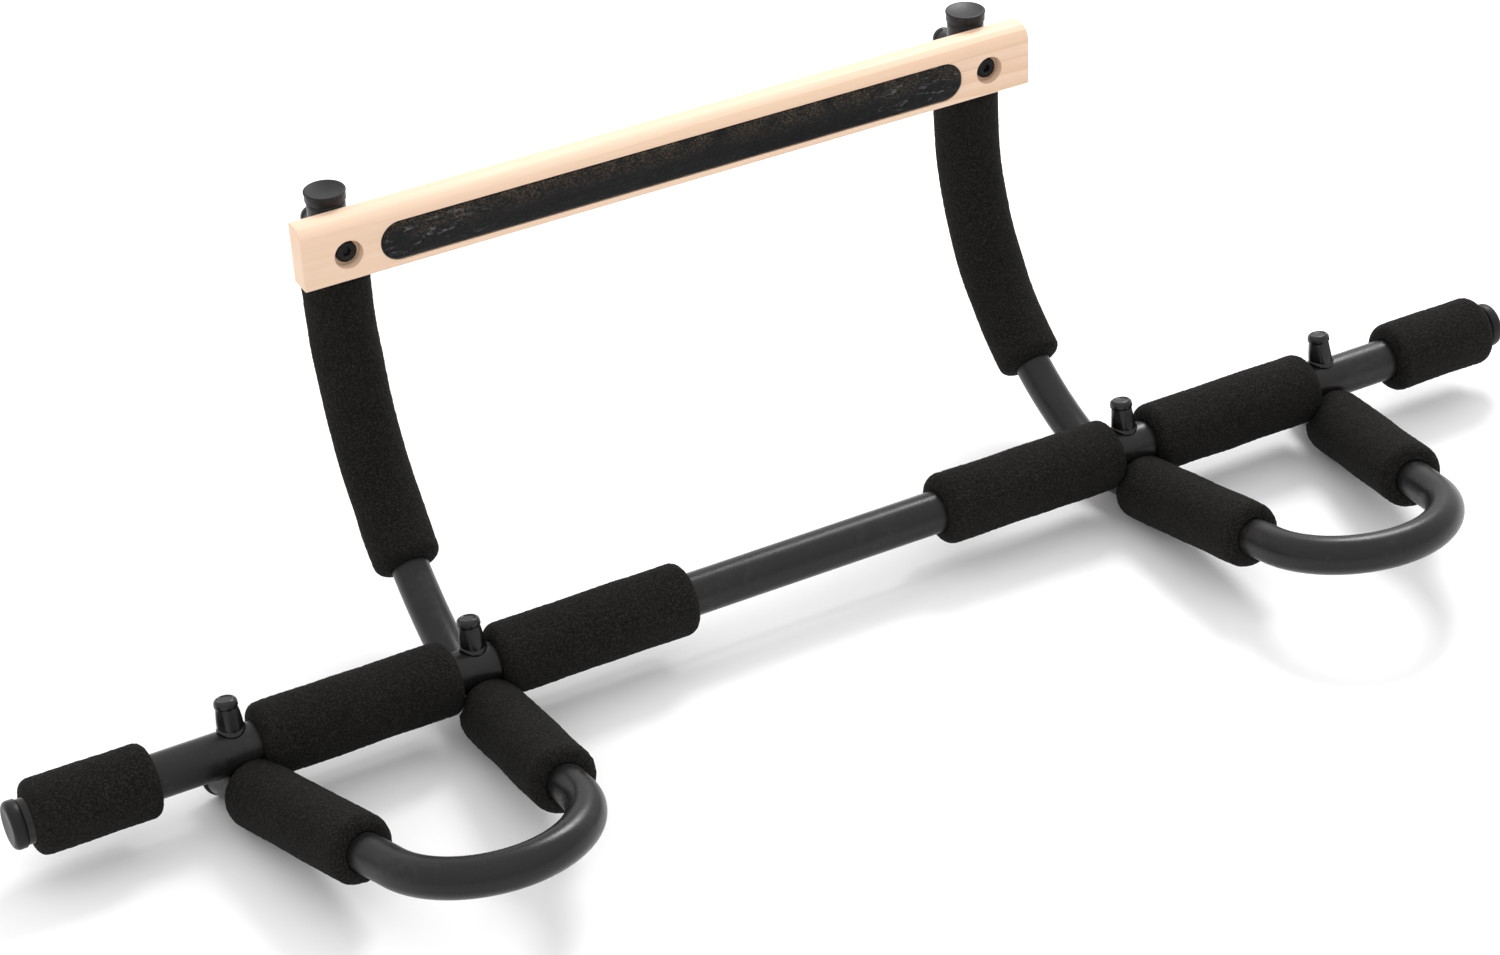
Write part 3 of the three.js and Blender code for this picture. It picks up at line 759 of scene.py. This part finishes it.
def build_arm_grip(lines, seed):
    """The long sleeve follows the arm's bend and its straight top."""
    name = f"{lines.word}_arm_grip"
    bend, top = lines.arm[1], lines.arm[2]
    top_point = top.at(0)[0]
    end = span(name, top_point, lines.rise)[1]
    radius = 0
    cad = [TO_BAR @ v.co for v in nodes[name].data.vertices]
    centre = bend.centre
    angles = []
    for point in cad:
        offset = point - centre
        angles.append(math.atan2(offset.dot(bend.v), offset.dot(bend.u)))
        radius = max(radius, math.hypot(offset.dot(bend.v), offset.dot(bend.u)) - bend.radius)
    start_run = (min(angles) - bend.start) * bend.radius
    arc = Arc(centre, bend.radius, bend.u, bend.v, min(angles), bend.start + bend.length / bend.radius)
    route = Route(arc, top)
    length = bend.length - start_run + end
    build_grip(name, route, length, SIDE_RADIUS + GAP, radius, seed)


# ---- Board and pad ----------------------------------------------------------------------------

def board_section(low, high):
    """The board's outline in (y, z): square behind, with a large round at the front top."""
    points = []
    corners = (
        (low.y, low.z, 1, 1, BOARD_EDGE_RADIUS, math.pi),
        (high.y, low.z, -1, 1, BOARD_EDGE_RADIUS, 1.5 * math.pi),
        (high.y, high.z, -1, -1, BOARD_EDGE_RADIUS, 0.0),
        (low.y, high.z, 1, -1, BOARD_FRONT_RADIUS, 0.5 * math.pi),
    )
    for y, z, toward_y, toward_z, radius, start in corners:
        steps = 14 if radius > 2 * MM else 5
        for i in range(steps + 1):
            angle = start + math.pi / 2 * i / steps
            points.append((
                y + toward_y * radius + radius * math.cos(angle),
                z + toward_z * radius + radius * math.sin(angle),
            ))
    return points


def prism_along_x(name, outline, start, end):
    count = len(outline)
    verts = [(x, y, z) for x in (start, end) for y, z in outline]
    faces = [tuple(range(count))[::-1], tuple(range(count, 2 * count)), *ring_faces(0, count, count)]
    return plain_object(name, verts, faces)


def plain_object(name, verts, faces):
    mesh = bpy.data.meshes.new(name)
    mesh.from_pydata(verts, [], faces)
    build = bmesh.new()
    build.from_mesh(mesh)
    bmesh.ops.recalc_face_normals(build, faces=build.faces)
    build.to_mesh(mesh)
    build.free()
    made = bpy.data.objects.new(name, mesh)
    bpy.context.scene.collection.objects.link(made)
    return made


def stadium_points(length, height, steps=24):
    """The outline of a slot with round ends, about its own middle, in (x, z)."""
    radius, half = height / 2, length / 2 - height / 2
    points = []
    for centre, start in ((half, -math.pi / 2), (-half, math.pi / 2)):
        for i in range(steps + 1):
            angle = start + math.pi * i / steps
            points.append((centre + radius * math.cos(angle), radius * math.sin(angle)))
    return points


def cutter(name, outline, x, z, front, back):
    """A tool with an outline in (x, z), from one depth to another."""
    count = len(outline)
    verts = [(x + px, y, z + pz) for y in (front, back) for px, pz in outline]
    faces = [tuple(range(count))[::-1], tuple(range(count, 2 * count)), *ring_faces(0, count, count)]
    return plain_object(name, verts, faces)


def circle_points(radius, count=40):
    angles = [2 * math.pi * i / count for i in range(count)]
    return [(radius * math.cos(a), radius * math.sin(a)) for a in angles]


def ease_ends(board):
    """Rounds the edges round both ends of the board."""
    build = bmesh.new()
    build.from_mesh(board.data)
    ends = [edge for edge in build.edges if abs(edge.verts[0].co.x - edge.verts[1].co.x) < 1e-6]
    bmesh.ops.bevel(
        build, geom=ends, offset=BOARD_END_RADIUS, segments=5, profile=0.5, affect="EDGES",
        clamp_overlap=True)
    build.to_mesh(board.data)
    build.free()


def applied_mesh(target):
    """The mesh of an object with all its modifiers done."""
    graph = bpy.context.evaluated_depsgraph_get()
    return bpy.data.meshes.new_from_object(target.evaluated_get(graph))


def build_board():
    low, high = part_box("header_board")
    height = low.z + HOLE_HEIGHT
    blank = prism_along_x("board_blank", board_section(low, high), low.x, high.x)
    ease_ends(blank)
    front = low.y - 1 * MM
    tools = [cutter("tool_slot", stadium_points(PAD_LENGTH, PAD_HEIGHT), 0, height,
                    front, low.y + PAD_DEPTH)]
    for side, word in SIDES:
        x = middle(f"{word}_board_bolt").x
        tools.append(cutter(f"tool_sink_{word}", circle_points(COUNTERBORE_RADIUS), x, height,
                            front, low.y + COUNTERBORE_DEPTH))
        tools.append(cutter(f"tool_hole_{word}", circle_points(BOARD_BORE_RADIUS), x, height,
                            front, high.y + 1 * MM))
    for tool in tools:
        modifier = blank.modifiers.new(tool.name, "BOOLEAN")
        modifier.operation, modifier.object, modifier.solver = "DIFFERENCE", tool, "EXACT"
    bevel = blank.modifiers.new("broken_edges", "BEVEL")
    bevel.width, bevel.segments, bevel.limit_method = 0.5 * MM, 3, "ANGLE"
    bevel.angle_limit = math.radians(35)
    mesh = applied_mesh(blank)
    mesh.name = "header_board_wood"
    for made in (blank, *tools):
        bpy.data.objects.remove(made)
    piece = finish_piece("header_board_wood", mesh, WOOD, "board_wood", "header_board")
    mesh.set_sharp_from_angle(angle=math.radians(40))
    return piece


def pad_surface(x, z, inset):
    """How far the pad's face stands above its own edge: a low crown with creases near its ends."""
    half_length, half_height = PAD_LENGTH / 2, PAD_HEIGHT / 2
    across = max(0.0, 1 - (z / half_height) ** 2)
    crown = across ** 0.6
    end = min(1.0, max(0.0, (abs(x) - 0.62 * half_length) / (0.3 * half_length)))
    place = Vector((x / (16 * MM), 0, z / (5 * MM)))
    slow = noise.noise(place * 0.5)
    crease = noise.noise(Vector((x / (9 * MM) + z / (6 * MM), 3.7, z / (3 * MM))))
    wave = noise.noise(Vector((x / (12 * MM), 9.1, 0)))
    ripple = 0.35 * MM * slow + (0.15 + 0.55 * end) * MM * crease * across
    return crown * PAD_CROWN + ripple * min(1.0, inset / (2 * MM)) + 0.25 * MM * wave * crown


def build_pad():
    """Rings of points from the pad's outline inwards, on a crowned face, over a plain back."""
    low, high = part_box("header_pad")
    centre_z = (low.z + high.z) / 2
    wood_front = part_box("header_board")[0].y
    columns, rows = 300, 26
    radius = PAD_HEIGHT / 2 - GAP
    half = PAD_LENGTH / 2 - PAD_HEIGHT / 2
    verts, faces = [], []
    for i in range(columns + 1):
        x = -(half + radius) + 2 * (half + radius) * (0.5 - 0.5 * math.cos(math.pi * i / columns))
        beyond = max(0.0, abs(x) - half)
        tall = math.sqrt(max(0.0, radius ** 2 - beyond ** 2))
        tall = max(tall, 0.4 * MM)
        for j in range(rows + 1):
            z = -tall * math.cos(math.pi * j / rows)
            inset = min(tall - abs(z), half + radius - abs(x))
            edge = min(1.0, max(0.0, inset) / (1.6 * MM))
            drop = (1 - math.sqrt(max(0.0, 1 - (1 - edge) ** 2))) * 1.4 * MM
            y = wood_front - pad_surface(x, z, inset) + drop + 0.25 * MM
            verts.append((x, max(y, low.y), centre_z + z))
    across = rows + 1
    for i in range(columns):
        for j in range(rows):
            a = i * across + j
            faces.append((a, a + 1, a + across + 1, a + across))
    rim = list(range(0, columns * across, across)) + [columns * across + j for j in range(rows)]
    rim += [i * across + rows for i in range(columns, 0, -1)] + list(range(rows, 0, -1))
    back = len(verts)
    verts += [(verts[i][0], high.y, verts[i][2]) for i in rim]
    count = len(rim)
    for i in range(count):
        j = (i + 1) % count
        faces.append((rim[i], rim[j], back + j, back + i))
    faces.append(tuple(range(back, back + count)))
    piece = make_piece(
        "header_pad_rubber", verts, faces, RUBBER, "pad_rubber", "header_pad", matrix=Matrix())
    piece.data.set_sharp_from_angle(angle=math.radians(60))


# ---- Fasteners --------------------------------------------------------------------------------

def hexagon_reach(across_flats, angle):
    """How far a hexagon's side is from its middle in a direction."""
    sector = math.pi / 3
    return across_flats / 2 / math.cos((angle % sector) - sector / 2)


NUT_CAP_SIDES = 72


def nut_cap_profile(seat, top):
    """The outside of a nut cap: flange, foot of the cone, neck and a round head with a rim."""
    tall = top - seat
    outline = (
        (0.00, 7.55), (0.005, 7.85), (0.03, 8.0), (0.06, 7.95), (0.085, 7.6), (0.095, 7.15),
        (0.11, 7.05), (0.13, 7.25), (0.16, 7.35), (0.30, 7.2), (0.45, 6.9), (0.60, 6.5),
        (0.68, 6.25), (0.71, 6.1), (0.73, 6.12), (0.75, 6.35), (0.775, 6.58), (0.80, 6.6),
        (0.88, 6.5), (0.93, 6.25), (0.965, 5.8), (0.99, 5.2), (1.0, 4.7), (0.995, 4.4),
        (0.975, 4.1), (0.968, 3.5), (0.975, 1.8), (0.98, 0.0),
    )
    return [(seat + share * tall, radius * MM) for share, radius in outline]


def saddled(vert, origin, direction, tube_radius, tube_axis, seat):
    """A point of a nut cap, drawn down round the tube that the cap stands on."""
    offset = vert - origin
    run = offset.dot(direction)
    across = offset - direction * run
    beside = across - tube_axis * across.dot(tube_axis)
    near = min(1.0, max(0.0, 1 - (run - seat - 1.6 * MM) / (2.5 * MM)))
    sag = tube_radius - math.sqrt(max(0.0, tube_radius ** 2 - beside.length_squared))
    return vert - direction * (sag * near)


def build_nut_cap(name, origin, direction, tube_radius, tube_axis):
    """A push-on cap whose cone is faceted and whose skirt follows the tube under it."""
    end = span(name, origin, direction)[1]
    seat = tube_radius + GAP
    tall = end - seat
    cone_foot, cone_top = seat + 0.12 * tall, seat + 0.74 * tall

    def shape(run, reach, angle):
        if not cone_foot < run < cone_top:
            return reach
        share = math.sin(math.pi * (run - cone_foot) / (cone_top - cone_foot)) ** 0.5
        flat = min(hexagon_reach(2 * reach * 0.93, angle), reach)
        return reach + (flat - reach) * share

    profile = [(seat + 2 * MM, 0.0), (seat + 2 * MM, NUT_CAP_BORE), (seat, NUT_CAP_BORE),
               *nut_cap_profile(seat, end)]
    verts, faces = skin_along(Line(origin, direction, end), profile, NUT_CAP_SIDES, shape)
    verts = [saddled(vert, origin, direction, tube_radius, tube_axis, seat) for vert in verts]
    make_piece(f"{name}_moulding", verts, faces, NUT_CAP_PLASTIC, "plastic", name)


def bolt_profile(start, tip, head_radius, head_height, socket):
    shank = SHANK_RADIUS
    edge = 0.9 * MM
    under = start + head_height
    return [
        (start + socket * 0.9, 0.0), (start + socket * 0.9, head_radius * 0.38),
        (start + socket * 0.1, head_radius * 0.42), (start, head_radius * 0.5),
        (start, head_radius - edge), (start + 0.3 * edge, head_radius - 0.3 * edge),
        (start + edge, head_radius), (under, head_radius), (under, shank),
        (tip - 0.8 * MM, shank), (tip, shank - 0.8 * MM), (tip, 0.0),
    ]


def build_bolt(name, origin, direction, head_radius, head_height, socket):
    start, end, _ = span(name, origin, direction)
    profile = bolt_profile(start, end, head_radius, head_height, socket)
    socket_edge = head_radius * 0.45

    def shape(run, reach, angle):
        if run > start + socket or reach > socket_edge:
            return reach
        return hexagon_reach(2 * reach * math.cos(math.pi / 6), angle)

    verts, faces = skin_along(Line(origin, direction, end), profile, 48, shape)
    piece = make_piece(f"{name}_steel", verts, faces, BLACK_STEEL, "black_steel", name)
    piece.data.set_sharp_from_angle(angle=math.radians(45))


def build_fasteners():
    up = Vector((0, 0, 1))
    along_bar = Vector((1, 0, 0))
    for side, word in SIDES:
        for kind in ("inner", "outer"):
            x = middle(f"{word}_{kind}_nut").x
            origin = Vector((x, 0, 0))
            build_nut_cap(f"{word}_{kind}_nut_cap", origin, up, BAR_RADIUS, along_bar)
            build_bolt(f"{word}_{kind}_bolt", origin, up, *BAR_BOLT_HEAD)
        nut, washer = (TO_BAR @ middle(f"{word}_board_{kind}") for kind in ("nut", "washer"))
        back = (nut - washer).normalized()
        arm_axis = SIDE_FRAMES[word].rise
        origin = washer - back * (SIDE_RADIUS + GAP + 0.6 * MM)
        build_nut_cap(f"{word}_board_nut_cap", origin, back, SIDE_RADIUS, arm_axis)
        build_bolt(f"{word}_board_bolt", origin, back, *BOARD_BOLT_HEAD)


# ---- Build ------------------------------------------------------------------------------------

SIDE_FRAMES = {word: SideFrame(side, word) for side, word in SIDES}

build_bar_tubes()
build_bar_grips()
for number, (side, word) in enumerate(SIDES):
    lines = SIDE_FRAMES[word]
    build_side_tube(lines)
    build_side_grips(lines, 20 + 5 * number)
    along = Vector((side, 0, 0))
    build_cap(f"bar_{word}_end_cap", Vector(), along, 3.2 * MM, 0.4 * MM)
    rear = -lines.outer_forward
    build_cap(f"{word}_rear_leg_cap", lines.outer_bolt, rear, 1.2 * MM, 0.3 * MM)
    top = lines.arm[2].at(0)[0]
    build_cap(f"{word}_arm_top_cap", top, lines.rise, 0.7 * MM, 1.2 * MM, 1.3 * MM)
build_board()
build_pad()
build_fasteners()

for name, node in nodes.items():
    if not node.hide_render:
        for place in node.material_slots:
            place.material = BLACK_STEEL


# ---- Floor, light and camera ------------------------------------------------------------------

def build_floor():
    half = 6.0
    floor = plain_object(
        "floor", [(-half, -half, 0), (half, -half, 0), (half, half, 0), (-half, half, 0)],
        [(0, 1, 2, 3)])
    material, tree, shader, place = new_material("floor_white")
    cloud = ramp(tree, noise_value(tree, place, 3.0, 3.0, 0.5), 0.3, 0.7)
    colour = mix_colour(tree, cloud, rgb(0.90, 0.895, 0.90), rgb(0.93, 0.925, 0.93))
    tree.links.new(colour, shader.inputs["Base Color"])
    shader.inputs["Roughness"].default_value = 0.7
    floor.data.materials.append(material)


def area_light(name, place, target, size, power, colour=(1, 1, 1)):
    data = bpy.data.lights.new(name, "AREA")
    data.shape, data.size, data.energy, data.color = "DISK", size, power, colour
    lamp = bpy.data.objects.new(name, data)
    lamp.location = place
    lamp.rotation_mode = "QUATERNION"
    lamp.rotation_quaternion = (Vector(target) - Vector(place)).to_track_quat("-Z", "Y")
    bpy.context.scene.collection.objects.link(lamp)


SKY_LEVELS = (0.90, 1.30)         # at the horizon and overhead


def build_light():
    """A studio sky a little brighter overhead than at the horizon, and one soft lamp."""
    world = bpy.data.worlds.new("studio")
    world.use_nodes = True
    tree = world.node_tree
    background = tree.nodes["Background"]
    background.inputs["Color"].default_value = rgb(1.0, 1.0, 1.0)
    direction = tree.nodes.new("ShaderNodeTexCoord").outputs["Generated"]
    height = add_node(tree, "ShaderNodeSeparateXYZ", {"Vector": direction}).outputs["Z"]
    tree.links.new(ramp(tree, height, 0.0, 1.0, *SKY_LEVELS), background.inputs["Strength"])
    bpy.context.scene.world = world
    area_light("key", (1.4, 1.4, 2.0), (0, 0, 0), 1.0, 42)


CAMERA_PLACE = (-0.8253, -1.5425, 1.2007)
CAMERA_AZIMUTH = math.radians(-27.002)
CAMERA_ELEVATION = math.radians(32.380)
CAMERA_ROLL = math.radians(-2.909)
CAMERA_LENS = 88.52


def build_camera():
    data = bpy.data.cameras.new("camera")
    data.sensor_width, data.lens = 36.0, CAMERA_LENS
    camera = bpy.data.objects.new("camera", data)
    a, e = CAMERA_AZIMUTH, CAMERA_ELEVATION
    back = Vector((math.sin(a) * math.cos(e), -math.cos(a) * math.cos(e), math.sin(e)))
    camera.rotation_mode = "QUATERNION"
    upright = (-back).to_track_quat("-Z", "Y").to_matrix().to_4x4()
    camera.matrix_world = (
        Matrix.Translation(CAMERA_PLACE) @ upright @ Matrix.Rotation(CAMERA_ROLL, 4, "Z"))
    bpy.context.scene.collection.objects.link(camera)
    bpy.context.scene.camera = camera


build_floor()
build_light()
build_camera()
bpy.context.scene.view_settings.view_transform = "Standard"
